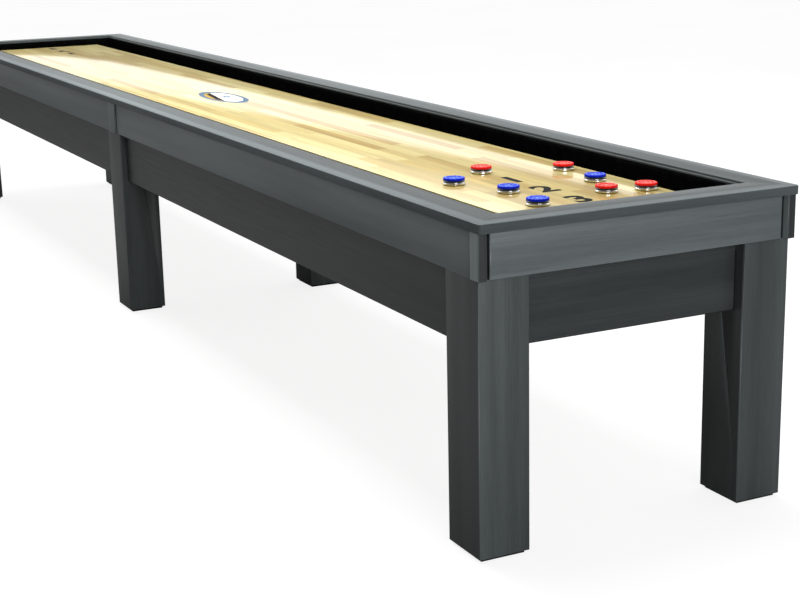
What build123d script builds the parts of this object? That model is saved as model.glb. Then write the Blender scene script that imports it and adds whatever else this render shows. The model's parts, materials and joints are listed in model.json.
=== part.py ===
"""An eighteen foot shuffleboard table with its eight weights.

Millimetres. The origin is on the floor under the table's centre. +X runs along the
table to its near end, +Y across it to its right side, and +Z is up.
"""
from build123d import *
from math import sqrt
import os

os.makedirs("parts", exist_ok=True)

# ---------------------------------------------------------------- driving dimensions
# The whole table, over its top rails
table_length = 5486.0
table_width = 880.0
table_height = 800.0

# Top rails
rail_width = 95.0
rail_thickness = 22.0
rail_inner_lip = 13.0
rail_step_height = 6.0
rail_step_width = 4.5
rail_flat_end = 52.0
rail_edge_drop = 2.0
rail_corner_radius = 9.0
# How far past the table's outline a rail is drawn before it is cut to it
rail_spare = 5.0
rail_end_overhang = 9.0
rail_side_overhang = 1.5

# Cabinet round the playfield
cabinet_bottom = 668.0
panel_thickness = 22.0
side_panel_setback = 5.5
end_panel_setback = 9.0
post_along = 40.0
post_across = 22.0
stile_width = 75.0
side_reveal_width = 7.0
end_reveal_width = 12.0
reveal_depth = 10.0
edge_chamfer = 2.0

# Gutter round the board
floor_thickness = 18.0
wall_thickness = 12.0
carpet_thickness = 3.0
gutter_floor_inner = 225.0
carpet_inner = 240.0
end_floor_tuck = 20.0
end_carpet_tuck = 8.0

# Playfield board
board_width = 508.0
board_thickness = 50.0
coating_thickness = 4.0
coating_top = 765.0
end_gutter = 100.0
board_chamfer = 1.5

# Legs and aprons
leg_along = 148.0
leg_across = 134.0
leg_chamfer = 2.0
leg_end_setback = 7.0
apron_bottom = 495.0
apron_thickness = 22.0
side_apron_setback = 20.0
end_apron_setback = 34.0

# Cross members
beam_width = 45.0
beam_height = 60.0
beam_places = (698.0, 1322.0, 1946.0, 2480.0)
bearer_width = 60.0
bearer_half_length = 222.0

# Hidden wood in the cabinet
cleat_width = 30.0
cleat_gap = 13.0
block_along = 34.0
block_across = 40.0
block_bottom = 700.0

# Levelling feet
pad_thickness = 8.0
pad_inset = 9.0
pad_chamfer = 1.5
stem_radius = 6.0
stem_bottom = 3.0
stem_top = 68.0
foot_insert_radius = 9.0
foot_insert_length = 30.0
stem_bore_radius = 6.5
stem_bore_top = 75.0

# Bolts that hold each leg to the gutter floor
bolt_radius = 5.0
bolt_head_flats = 8.5
bolt_head_height = 6.4
bolt_length = 50.0
bolt_spread = 35.0
bolt_across = 385.0
washer_radius = 11.0
washer_thickness = 2.0
bolt_insert_radius = 8.0
bolt_insert_length = 34.0

# Angle brackets between aprons and legs, and the wood screws
bracket_flange = 50.0
bracket_thickness = 4.0
bracket_bottom = 520.0
bracket_height = 100.0
screw_heights = (545.0, 595.0)
screw_reach = 30.0
screw_radius = 3.0
screw_head_radius = 6.0
screw_head_height = 3.5
screw_depth = 18.0
screw_hole_spare = 1.0
screw_head_taper = 20.0

# Climatic adjusters under the board
adjuster_places = (1010.0, 2223.0)
adjuster_bracket_along = 60.0
adjuster_screw_pitch = 30.0
adjuster_bracket_inner = 163.0
adjuster_flange = 45.0
adjuster_plate = 5.0
adjuster_drop = 35.0
rod_radius = 6.0
rod_half_length = 190.0
rod_height = 690.0
rod_hex_flats = 9.5
rod_hex_length = 40.0
rod_chamfer = 1.0
nut_thickness = 10.0
nut_gap = 0.3

# Weights, as the playing pucks are called
puck_radius = 29.35
puck_height = 19.0
puck_waist_radius = 27.0
puck_base_radius = 25.5
puck_band_low = 2.5
puck_band_high = 5.0
puck_waist_middle = 7.5
puck_shoulder = 10.5
puck_shoulder_radius = 28.9
puck_cup_radius = 20.0
puck_cup_depth = 2.0
cap_radius = 28.2
cap_bottom = 13.0
cap_edge_fillet = 2.2
cap_lower_chamfer = 0.8
cap_spigot_radius = 12.0
cap_spigot_depth = 5.0
cap_dish_radius = 19.0
cap_dish_depth = 0.8
puck_lift = 0.1

# Clearance round a shaft that turns or slides in its hole
running_gap = 0.05

# How far a cut runs past the face that it opens through
cut_spare = 1.0

# How near a point has to be to a face to count as on it
face_tolerance = 0.5

# Where the weights stand: colour and number, place along and across the table
puck_places = (
    ("blue_1", 2116.0, -161.0),
    ("blue_2", 2290.0, -101.0),
    ("blue_3", 2470.0, -126.0),
    ("blue_4", 2271.0, 169.0),
    ("red_1", 2000.0, -15.0),
    ("red_2", 2081.0, 193.0),
    ("red_3", 2417.0, 106.0),
    ("red_4", 2441.0, 208.0),
)

# ---------------------------------------------------------------- worked out from them
half_length = table_length / 2
half_width = table_width / 2
rail_bottom = table_height - rail_edge_drop - rail_thickness
opening_x = half_length - rail_width
opening_y = half_width - rail_width
liner_top = table_height - rail_inner_lip

post_outer_x = half_length - rail_end_overhang
post_outer_y = half_width - rail_side_overhang
post_inner_x = post_outer_x - post_along
post_inner_y = post_outer_y - post_across
side_panel_outer = post_outer_y - side_panel_setback
side_panel_inner = side_panel_outer - panel_thickness
end_panel_outer = post_outer_x - end_panel_setback
end_panel_inner = end_panel_outer - panel_thickness
cabinet_height = rail_bottom - cabinet_bottom

floor_top = cabinet_bottom + floor_thickness
wall_inner_x = opening_x + carpet_thickness
wall_inner_y = opening_y + carpet_thickness
wall_outer_x = wall_inner_x + wall_thickness
wall_outer_y = wall_inner_y + wall_thickness

board_half_length = opening_x - end_gutter
board_top = coating_top - coating_thickness
board_bottom = board_top - board_thickness

leg_outer_x = end_panel_outer - leg_end_setback
leg_outer_y = side_panel_outer
leg_inner_x = leg_outer_x - leg_along
leg_inner_y = leg_outer_y - leg_across
leg_centre_x = leg_outer_x - leg_along / 2
leg_centre_y = leg_outer_y - leg_across / 2
mid_leg_face = leg_along / 2

side_apron_outer = leg_outer_y - side_apron_setback
side_apron_inner = side_apron_outer - apron_thickness
end_apron_outer = leg_outer_x - end_apron_setback
end_apron_inner = end_apron_outer - apron_thickness
apron_height = cabinet_bottom - apron_bottom
beam_bottom = cabinet_bottom - beam_height

end_names = {1: "near", -1: "far"}
side_names = {1: "right", -1: "left"}
leg_rows = {"near": leg_centre_x, "middle": 0.0, "far": -leg_centre_x}


# ---------------------------------------------------------------- helpers
def write_piece(piece, node):
    """Label a finished piece and write it under its node's name."""
    piece.part.label = node
    export_step(piece.part, f"parts/{node}.step")


def write_group(pieces, node):
    """Write finished pieces as separate solids of one node."""
    group = Compound(children=[solid for piece in pieces for solid in piece.part.solids()])
    group.label = node
    export_step(group, f"parts/{node}.step")


def rectangle_between(x_low, x_high, y_low, y_high):
    """Draw a rectangle between two corners in the sketch that is open."""
    with Locations(((x_low + x_high) / 2, (y_low + y_high) / 2)):
        Rectangle(abs(x_high - x_low), abs(y_high - y_low))


def mirrored(value_low, value_high, side):
    """The two limits of a stretch, turned over for the negative side and in order."""
    return sorted((side * value_low, side * value_high))


def bracket_corners():
    """Each inside corner of an apron and a leg: its place, and the signs of the open side."""
    corners = []
    for end in (1, -1):
        for side in (1, -1):
            corners.append((end * leg_inner_x, side * side_apron_inner, -end, -side))
            corners.append((end * mid_leg_face, side * side_apron_inner, end, -side))
            corners.append((end * end_apron_inner, side * leg_inner_y, -end, -side))
    return corners


def bracket_screw_planes():
    """A plane on the wood at each bracket screw, its normal pointing out of the wood."""
    planes = []
    for x, y, x_sign, y_sign in bracket_corners():
        for height in screw_heights:
            along = (x + x_sign * screw_reach, y, height)
            across = (x, y + y_sign * screw_reach, height)
            planes.append(Plane(origin=along, z_dir=(0, y_sign, 0)))
            planes.append(Plane(origin=across, z_dir=(x_sign, 0, 0)))
    return planes


def adjuster_screw_planes():
    """A plane on the board's underside at each screw of the adjuster brackets."""
    planes = []
    screw_across = adjuster_bracket_inner + adjuster_plate + adjuster_flange / 2
    for end in (1, -1):
        for place in adjuster_places:
            for side in (1, -1):
                for step in (-1, 1):
                    x = end * place + step * adjuster_screw_pitch / 2
                    planes.append(Plane(origin=(x, side * screw_across, board_bottom), z_dir=(0, 0, -1)))
    return planes


def planes_within(planes, x_low, x_high, y_low, y_high):
    """The planes whose origins lie on or inside a rectangle seen from above."""
    return [
        plane
        for plane in planes
        if x_low - face_tolerance <= plane.origin.X <= x_high + face_tolerance
        and y_low - face_tolerance <= plane.origin.Y <= y_high + face_tolerance
    ]


def facing_x(planes):
    """The planes that face along the table."""
    return [plane for plane in planes if abs(plane.z_dir.X) > abs(plane.z_dir.Y)]


def facing_y(planes):
    """The planes that face across the table."""
    return [plane for plane in planes if abs(plane.z_dir.Y) > abs(plane.z_dir.X)]


def drill_screws(planes):
    """Drill a screw's hole at each plane, into the part that is open."""
    with BuildSketch(*planes) as holes:
        Circle(screw_radius + running_gap)
    extrude(holes.sketch, amount=-(screw_depth + screw_hole_spare), mode=Mode.SUBTRACT)


# ---------------------------------------------------------------- playfield
with BuildPart() as playfield_board:
    with BuildSketch(Plane.XY.offset(board_bottom)):
        Rectangle(2 * board_half_length, board_width)
    extrude(amount=board_thickness)
    chamfer(playfield_board.faces().sort_by(Axis.Z)[0].edges(), length=board_chamfer)
    drill_screws(adjuster_screw_planes())
write_piece(playfield_board, "playfield_board")

with BuildPart() as playfield_coating:
    with BuildSketch(Plane.XY.offset(board_top)):
        Rectangle(2 * board_half_length, board_width)
    extrude(amount=coating_thickness)
    chamfer(playfield_coating.faces().sort_by(Axis.Z)[-1].edges(), length=board_chamfer)
write_piece(playfield_coating, "playfield_coating")

with BuildPart() as board_bearers:
    with BuildSketch(Plane.XY.offset(cabinet_bottom)):
        with Locations(*[(end * place, 0) for end in (1, -1) for place in beam_places], (0, 0)):
            Rectangle(bearer_width, 2 * bearer_half_length)
    extrude(amount=board_bottom - cabinet_bottom)
write_piece(board_bearers, "board_bearers")

# ---------------------------------------------------------------- gutter
with BuildPart() as side_floors:
    with BuildSketch(Plane.XY.offset(cabinet_bottom)):
        for side in (1, -1):
            y_low, y_high = mirrored(gutter_floor_inner, side_panel_inner, side)
            rectangle_between(-end_panel_inner, end_panel_inner, y_low, y_high)
        with Locations(
            *[
                (x + step * bolt_spread, side * bolt_across)
                for x in leg_rows.values()
                for step in (1, -1)
                for side in (1, -1)
            ]
        ):
            Circle(bolt_radius + running_gap, mode=Mode.SUBTRACT)
    extrude(amount=floor_thickness)
with BuildPart() as end_floors:
    with BuildSketch(Plane.XY.offset(cabinet_bottom)):
        for end in (1, -1):
            x_low, x_high = mirrored(board_half_length - end_floor_tuck, end_panel_inner, end)
            rectangle_between(x_low, x_high, -gutter_floor_inner, gutter_floor_inner)
    extrude(amount=floor_thickness)
write_group([side_floors, end_floors], "gutter_floors")

with BuildPart() as side_walls:
    with BuildSketch(Plane.XY.offset(floor_top)):
        for side in (1, -1):
            y_low, y_high = mirrored(wall_inner_y, wall_outer_y, side)
            rectangle_between(-wall_outer_x, wall_outer_x, y_low, y_high)
    extrude(amount=rail_bottom - floor_top)
with BuildPart() as end_walls:
    with BuildSketch(Plane.XY.offset(floor_top)):
        for end in (1, -1):
            x_low, x_high = mirrored(wall_inner_x, wall_outer_x, end)
            rectangle_between(x_low, x_high, -wall_inner_y, wall_inner_y)
    extrude(amount=rail_bottom - floor_top)
write_group([side_walls, end_walls], "gutter_walls")


def side_liner(side):
    """The carpet of one long gutter: its floor and its wall in one bent strip."""
    with BuildPart() as liner:
        with BuildSketch(Plane.XY.offset(floor_top)):
            y_low, y_high = mirrored(carpet_inner, wall_inner_y, side)
            rectangle_between(-opening_x, opening_x, y_low, y_high)
        extrude(amount=carpet_thickness)
        with BuildSketch(Plane.XY.offset(floor_top)):
            y_low, y_high = mirrored(opening_y, wall_inner_y, side)
            rectangle_between(-opening_x, opening_x, y_low, y_high)
        extrude(amount=liner_top - floor_top)
    return liner


def end_liner(end):
    """The carpet of one end gutter, fitted between the two long strips."""
    with BuildPart() as liner:
        with BuildSketch(Plane.XY.offset(floor_top)):
            x_low, x_high = mirrored(board_half_length - end_carpet_tuck, wall_inner_x, end)
            rectangle_between(x_low, x_high, -carpet_inner, carpet_inner)
        extrude(amount=carpet_thickness)
        with BuildSketch(Plane.XY.offset(floor_top)):
            x_low, x_high = mirrored(opening_x, wall_inner_x, end)
            rectangle_between(x_low, x_high, -wall_inner_y, wall_inner_y)
        extrude(amount=liner_top - floor_top)
    return liner


write_group([side_liner(1), side_liner(-1), end_liner(1), end_liner(-1)], "gutter_liners")

# ---------------------------------------------------------------- cabinet
for side in (1, -1):
    with BuildPart() as side_panels:
        with BuildSketch(Plane.XY.offset(cabinet_bottom)):
            y_low, y_high = mirrored(side_panel_inner, side_panel_outer, side)
            reveal_floor = side_panel_outer - reveal_depth
            reveal_low, reveal_high = mirrored(reveal_floor, side_panel_outer + cut_spare, side)
            for end in (1, -1):
                x_low, x_high = mirrored(stile_width / 2, post_inner_x, end)
                rectangle_between(x_low, x_high, y_low, y_high)
                for x, step in ((x_low, 1), (x_high, -1)):
                    with Locations((x + step * side_reveal_width / 2, (reveal_low + reveal_high) / 2)):
                        Rectangle(side_reveal_width, reveal_high - reveal_low, mode=Mode.SUBTRACT)
        extrude(amount=cabinet_height)
        outer_face_edges = side_panels.edges().filter_by(Axis.Z).group_by(Axis.Y)[-1 if side > 0 else 0]
        chamfer(outer_face_edges, length=edge_chamfer)
    write_piece(side_panels, f"side_panels_{side_names[side]}")

for end in (1, -1):
    with BuildPart() as end_panel:
        with BuildSketch(Plane.XY.offset(cabinet_bottom)):
            x_low, x_high = mirrored(end_panel_inner, end_panel_outer, end)
            rectangle_between(x_low, x_high, -post_inner_y, post_inner_y)
            reveal_floor = end_panel_outer - reveal_depth
            reveal_low, reveal_high = mirrored(reveal_floor, end_panel_outer + cut_spare, end)
            for step in (1, -1):
                reveal_y = step * (post_inner_y - end_reveal_width / 2)
                with Locations(((reveal_low + reveal_high) / 2, reveal_y)):
                    Rectangle(reveal_high - reveal_low, end_reveal_width, mode=Mode.SUBTRACT)
        extrude(amount=cabinet_height)
        outer_face_edges = end_panel.edges().filter_by(Axis.Z).group_by(Axis.X)[-1 if end > 0 else 0]
        chamfer(outer_face_edges, length=edge_chamfer)
    write_piece(end_panel, f"end_panel_{end_names[end]}")

with BuildPart() as corner_posts:
    with BuildSketch(Plane.XY.offset(cabinet_bottom)):
        post_centre_x = post_outer_x - post_along / 2
        post_centre_y = post_outer_y - post_across / 2
        with GridLocations(2 * post_centre_x, 2 * post_centre_y, 2, 2):
            Rectangle(post_along, post_across)
    extrude(amount=cabinet_height)
    chamfer(corner_posts.edges().filter_by(Axis.Z), length=edge_chamfer)
write_piece(corner_posts, "corner_posts")

with BuildPart() as mid_stiles:
    with BuildSketch(Plane.XY.offset(cabinet_bottom)):
        for side in (1, -1):
            y_low, y_high = mirrored(side_panel_inner, post_outer_y, side)
            rectangle_between(-stile_width / 2, stile_width / 2, y_low, y_high)
    extrude(amount=cabinet_height)
    upright_edges = mid_stiles.edges().filter_by(Axis.Z).group_by(Axis.Y)
    chamfer(upright_edges[0] + upright_edges[-1], length=edge_chamfer)
write_piece(mid_stiles, "mid_stiles")

with BuildPart() as corner_blocks:
    with BuildSketch(Plane.XY.offset(block_bottom)):
        block_x = end_panel_inner - block_along / 2
        block_y = side_panel_inner - block_across / 2
        with Locations(*[(end * block_x, side * block_y) for end in (1, -1) for side in (1, -1)]):
            Rectangle(block_along, block_across)
    extrude(amount=rail_bottom - block_bottom)
write_piece(corner_blocks, "corner_blocks")

with BuildPart() as rail_cleats:
    with BuildSketch(Plane.XY.offset(rail_bottom - cleat_width)):
        cleat_end_x = wall_outer_x - cleat_gap
        cleat_end_y = side_panel_inner - block_across - cleat_gap
        for side in (1, -1):
            y_low, y_high = mirrored(side_panel_inner - cleat_width, side_panel_inner, side)
            for end in (1, -1):
                x_low, x_high = mirrored(stile_width / 2, cleat_end_x, end)
                rectangle_between(x_low, x_high, y_low, y_high)
        for end in (1, -1):
            x_low, x_high = mirrored(end_panel_inner - cleat_width, end_panel_inner, end)
            rectangle_between(x_low, x_high, -cleat_end_y, cleat_end_y)
    extrude(amount=cleat_width)
write_piece(rail_cleats, "rail_cleats")


# ---------------------------------------------------------------- top rails
def draw_rail_profile():
    """Draw a rail's section: across it from its inner face, and up from its underside.

    It runs a little past the outer face, which trim_rail_ends cuts to the table's outline.
    """
    top = table_height - rail_bottom
    rabbet = liner_top - rail_bottom
    step_top = rabbet + rail_step_height
    rough_width = rail_width + rail_spare
    curve_width = rail_width - rail_flat_end
    curve_radius = (curve_width**2 + rail_edge_drop**2) / (2 * rail_edge_drop)
    rough_drop = curve_radius - sqrt(curve_radius**2 - (curve_width + rail_spare) ** 2)
    with BuildLine() as outline:
        Polyline(
            (rough_width, top - rough_drop),
            (rough_width, 0),
            (carpet_thickness, 0),
            (carpet_thickness, rabbet),
            (0, rabbet),
            (0, step_top),
            (rail_step_width, step_top),
            (rail_step_width, top),
            (rail_flat_end, top),
        )
        TangentArc((rail_flat_end, top), (rough_width, top - rough_drop), tangent=(1, 0))
    make_face(outline.edges())


def trim_rail_ends(corners):
    """Keep the part of the open rail inside its mitres and the table's rounded outline."""
    with BuildSketch(Plane.XY.offset(rail_bottom)) as plan:
        with BuildLine():
            Polyline(*corners, close=True)
        make_face()
        RectangleRounded(table_length, table_width, rail_corner_radius, mode=Mode.INTERSECT)
    extrude(plan.sketch, amount=table_height - rail_bottom, mode=Mode.INTERSECT)


for side in (1, -1):
    inner_face = Plane(origin=(0, side * opening_y, rail_bottom), x_dir=(0, side, 0), z_dir=(side, 0, 0))
    with BuildPart() as side_rail:
        with BuildSketch(inner_face):
            draw_rail_profile()
        extrude(amount=half_length + rail_spare, both=True)
        trim_rail_ends(
            (
                (half_length, side * half_width),
                (-half_length, side * half_width),
                (-opening_x, side * opening_y),
                (opening_x, side * opening_y),
            )
        )
    write_piece(side_rail, f"top_rail_{side_names[side]}")

for end in (1, -1):
    inner_face = Plane(origin=(end * opening_x, 0, rail_bottom), x_dir=(end, 0, 0), z_dir=(0, -end, 0))
    with BuildPart() as end_rail:
        with BuildSketch(inner_face):
            draw_rail_profile()
        extrude(amount=half_width + rail_spare, both=True)
        trim_rail_ends(
            (
                (end * half_length, half_width),
                (end * half_length, -half_width),
                (end * opening_x, -opening_y),
                (end * opening_x, opening_y),
            )
        )
    write_piece(end_rail, f"top_rail_{end_names[end]}")

# ---------------------------------------------------------------- under-frame
for side in (1, -1):
    y_low, y_high = mirrored(side_apron_inner, side_apron_outer, side)
    with BuildPart() as side_aprons:
        with BuildSketch(Plane.XY.offset(apron_bottom)):
            for end in (1, -1):
                x_low, x_high = mirrored(mid_leg_face, leg_inner_x, end)
                rectangle_between(x_low, x_high, y_low, y_high)
        extrude(amount=apron_height)
        chamfer(side_aprons.faces().sort_by(Axis.Z)[0:2].edges().filter_by(Axis.X), length=edge_chamfer)
        inner_y = side * side_apron_inner
        on_inner_face = planes_within(
            bracket_screw_planes(), -half_length, half_length, inner_y, inner_y
        )
        drill_screws(facing_y(on_inner_face))
    write_piece(side_aprons, f"side_aprons_{side_names[side]}")

for end in (1, -1):
    x_low, x_high = mirrored(end_apron_inner, end_apron_outer, end)
    with BuildPart() as end_apron:
        with BuildSketch(Plane.XY.offset(apron_bottom)):
            rectangle_between(x_low, x_high, -leg_inner_y, leg_inner_y)
        extrude(amount=apron_height)
        chamfer(end_apron.faces().sort_by(Axis.Z)[0].edges().filter_by(Axis.Y), length=edge_chamfer)
        on_inner_face = planes_within(
            bracket_screw_planes(), end * end_apron_inner, end * end_apron_inner, -leg_inner_y, leg_inner_y
        )
        drill_screws(facing_x(on_inner_face))
    write_piece(end_apron, f"end_apron_{end_names[end]}")

with BuildPart() as crossbeams:
    with BuildSketch(Plane.XY.offset(beam_bottom)):
        with Locations(*[(end * place, 0) for end in (1, -1) for place in beam_places]):
            Rectangle(beam_width, 2 * side_apron_inner)
        Rectangle(beam_width, 2 * leg_inner_y)
    extrude(amount=beam_height)
write_piece(crossbeams, "crossbeams")

# ---------------------------------------------------------------- legs and their hardware
for row, leg_x in leg_rows.items():
    for side in (1, -1):
        leg_y = side * leg_centre_y
        leg_sides = (
            leg_x - leg_along / 2,
            leg_x + leg_along / 2,
            leg_y - leg_across / 2,
            leg_y + leg_across / 2,
        )
        bolt_points = [(leg_x + step * bolt_spread, side * bolt_across) for step in (1, -1)]
        with BuildPart() as leg:
            with BuildSketch(Plane.XY.offset(pad_thickness)):
                with Locations((leg_x, leg_y)):
                    Rectangle(leg_along, leg_across)
            extrude(amount=cabinet_bottom - pad_thickness)
            chamfer(leg.edges().filter_by(Axis.Z), length=leg_chamfer)
            with BuildSketch(Plane.XY.offset(cabinet_bottom)):
                with Locations(*bolt_points):
                    Circle(bolt_insert_radius)
            extrude(amount=-bolt_insert_length, mode=Mode.SUBTRACT)
            with BuildSketch(Plane.XY.offset(pad_thickness)):
                with Locations((leg_x, leg_y)):
                    Circle(foot_insert_radius)
            extrude(amount=foot_insert_length, mode=Mode.SUBTRACT)
            with BuildSketch(Plane.XY.offset(pad_thickness + foot_insert_length)):
                with Locations((leg_x, leg_y)):
                    Circle(stem_bore_radius)
            extrude(amount=stem_bore_top - pad_thickness - foot_insert_length, mode=Mode.SUBTRACT)
            on_leg = planes_within(bracket_screw_planes(), *leg_sides)
            face_x = leg_along / 2 - face_tolerance
            face_y = leg_across / 2 - face_tolerance
            on_ends = [plane for plane in facing_x(on_leg) if abs(plane.origin.X - leg_x) > face_x]
            on_sides = [plane for plane in facing_y(on_leg) if abs(plane.origin.Y - leg_y) > face_y]
            drill_screws(on_ends + on_sides)
        write_piece(leg, f"leg_{row}_{side_names[side]}")

        with BuildPart() as pad:
            with BuildSketch(Plane.XY):
                with Locations((leg_x, leg_y)):
                    Rectangle(leg_along - 2 * pad_inset, leg_across - 2 * pad_inset)
            extrude(amount=pad_thickness)
            chamfer(pad.edges().filter_by(Axis.Z), length=pad_chamfer)
            with BuildSketch(Plane.XY.offset(pad_thickness)):
                with Locations((leg_x, leg_y)):
                    Circle(stem_radius + running_gap)
            extrude(amount=-(pad_thickness - stem_bottom), mode=Mode.SUBTRACT)
        with BuildPart() as stem:
            with BuildSketch(Plane.XY.offset(stem_bottom)):
                with Locations((leg_x, leg_y)):
                    Circle(stem_radius)
            extrude(amount=stem_top - stem_bottom)
        write_group([pad, stem], f"foot_{row}_{side_names[side]}")

with BuildPart() as threaded_inserts:
    leg_places = [(leg_x, side * leg_centre_y) for leg_x in leg_rows.values() for side in (1, -1)]
    bolt_places = [
        (leg_x + step * bolt_spread, side * bolt_across)
        for leg_x in leg_rows.values()
        for side in (1, -1)
        for step in (1, -1)
    ]
    with BuildSketch(Plane.XY.offset(pad_thickness)):
        with Locations(*leg_places):
            Circle(foot_insert_radius)
            Circle(stem_radius + running_gap, mode=Mode.SUBTRACT)
    extrude(amount=foot_insert_length)
    with BuildSketch(Plane.XY.offset(cabinet_bottom)):
        with Locations(*bolt_places):
            Circle(bolt_insert_radius)
            Circle(bolt_radius + running_gap, mode=Mode.SUBTRACT)
    extrude(amount=-bolt_insert_length)
write_piece(threaded_inserts, "threaded_inserts")


def leg_bolt_and_washer(x, y):
    """A hexagon-headed bolt and the washer under its head, as two solids."""
    with BuildPart() as washer:
        with BuildSketch(Plane.XY.offset(floor_top)):
            with Locations((x, y)):
                Circle(washer_radius)
                Circle(bolt_radius + running_gap, mode=Mode.SUBTRACT)
        extrude(amount=washer_thickness)
    with BuildPart() as bolt:
        with BuildSketch(Plane.XY.offset(floor_top + washer_thickness)):
            with Locations((x, y)):
                RegularPolygon(bolt_head_flats, 6, major_radius=False)
        extrude(amount=bolt_head_height)
        with BuildSketch(Plane.XY.offset(floor_top + washer_thickness)):
            with Locations((x, y)):
                Circle(bolt_radius)
        extrude(amount=-bolt_length)
    return washer, bolt


write_group([piece for x, y in bolt_places for piece in leg_bolt_and_washer(x, y)], "leg_bolts")

with BuildPart() as apron_brackets:
    for x, y, x_sign, y_sign in bracket_corners():
        with BuildSketch(Plane.XY.offset(bracket_bottom)):
            x_low, x_high = sorted((x, x + x_sign * bracket_flange))
            y_low, y_high = sorted((y, y + y_sign * bracket_thickness))
            rectangle_between(x_low, x_high, y_low, y_high)
            x_low, x_high = sorted((x, x + x_sign * bracket_thickness))
            y_low, y_high = sorted((y, y + y_sign * bracket_flange))
            rectangle_between(x_low, x_high, y_low, y_high)
        extrude(amount=bracket_height)
    with BuildSketch(*bracket_screw_planes()):
        Circle(screw_radius + running_gap)
    extrude(amount=bracket_thickness, mode=Mode.SUBTRACT)
write_piece(apron_brackets, "apron_brackets")

# ---------------------------------------------------------------- climatic adjusters
with BuildPart() as adjuster_brackets:
    for end in (1, -1):
        for place in adjuster_places:
            for side in (1, -1):
                x_low, x_high = (
                    end * place - adjuster_bracket_along / 2,
                    end * place + adjuster_bracket_along / 2,
                )
                with BuildSketch(Plane.XY.offset(board_bottom)):
                    y_low, y_high = mirrored(
                        adjuster_bracket_inner,
                        adjuster_bracket_inner + adjuster_plate + adjuster_flange,
                        side,
                    )
                    rectangle_between(x_low, x_high, y_low, y_high)
                extrude(amount=-adjuster_plate)
                with BuildSketch(Plane.XY.offset(board_bottom)):
                    y_low, y_high = mirrored(
                        adjuster_bracket_inner, adjuster_bracket_inner + adjuster_plate, side
                    )
                    rectangle_between(x_low, x_high, y_low, y_high)
                extrude(amount=-adjuster_drop)
            with BuildSketch(Plane(origin=(end * place, 0, rod_height), z_dir=(0, 1, 0))):
                Circle(rod_radius + running_gap)
            extrude(amount=half_width, both=True, mode=Mode.SUBTRACT)
    with BuildSketch(*adjuster_screw_planes()):
        Circle(screw_radius + running_gap)
    extrude(amount=adjuster_plate, mode=Mode.SUBTRACT)
write_piece(adjuster_brackets, "adjuster_brackets")


def adjuster_nut(x, y):
    """A nut on an adjuster's rod, its lower face at y."""
    with BuildPart() as nut:
        with BuildSketch(Plane(origin=(x, y, rod_height), z_dir=(0, 1, 0))):
            RegularPolygon(rod_hex_flats, 6, major_radius=False)
            Circle(rod_radius + running_gap, mode=Mode.SUBTRACT)
        extrude(amount=nut_thickness)
    return nut


adjuster_number = 0
for end in (1, -1):
    for place in reversed(adjuster_places) if end > 0 else adjuster_places:
        adjuster_number += 1
        adjuster_x = end * place
        with BuildPart() as adjuster_rod:
            with BuildSketch(Plane(origin=(adjuster_x, 0, rod_height), z_dir=(0, 1, 0))):
                Circle(rod_radius)
            extrude(amount=rod_half_length, both=True)
            chamfer(adjuster_rod.edges().filter_by(GeomType.CIRCLE), length=rod_chamfer)
            with BuildSketch(Plane(origin=(adjuster_x, 0, rod_height), z_dir=(0, 1, 0))):
                RegularPolygon(rod_hex_flats, 6, major_radius=False)
            extrude(amount=rod_hex_length / 2, both=True)
        nut_faces = (
            adjuster_bracket_inner + adjuster_plate + nut_gap,
            adjuster_bracket_inner - nut_gap - nut_thickness,
            -adjuster_bracket_inner + nut_gap,
            -adjuster_bracket_inner - adjuster_plate - nut_gap - nut_thickness,
        )
        nuts = [adjuster_nut(adjuster_x, y) for y in nut_faces]
        write_group([adjuster_rod, *nuts], f"adjuster_rod_{adjuster_number}")

# ---------------------------------------------------------------- wood screws
with BuildPart() as wood_screws:
    screw_seats = [plane.offset(bracket_thickness) for plane in bracket_screw_planes()]
    screw_seats += [plane.offset(adjuster_plate) for plane in adjuster_screw_planes()]
    with BuildSketch(*screw_seats):
        Circle(screw_head_radius)
    extrude(amount=screw_head_height, taper=screw_head_taper)
    with BuildSketch(*screw_seats):
        Circle(screw_radius)
    extrude(amount=-screw_depth)
write_piece(wood_screws, "wood_screws")

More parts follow.
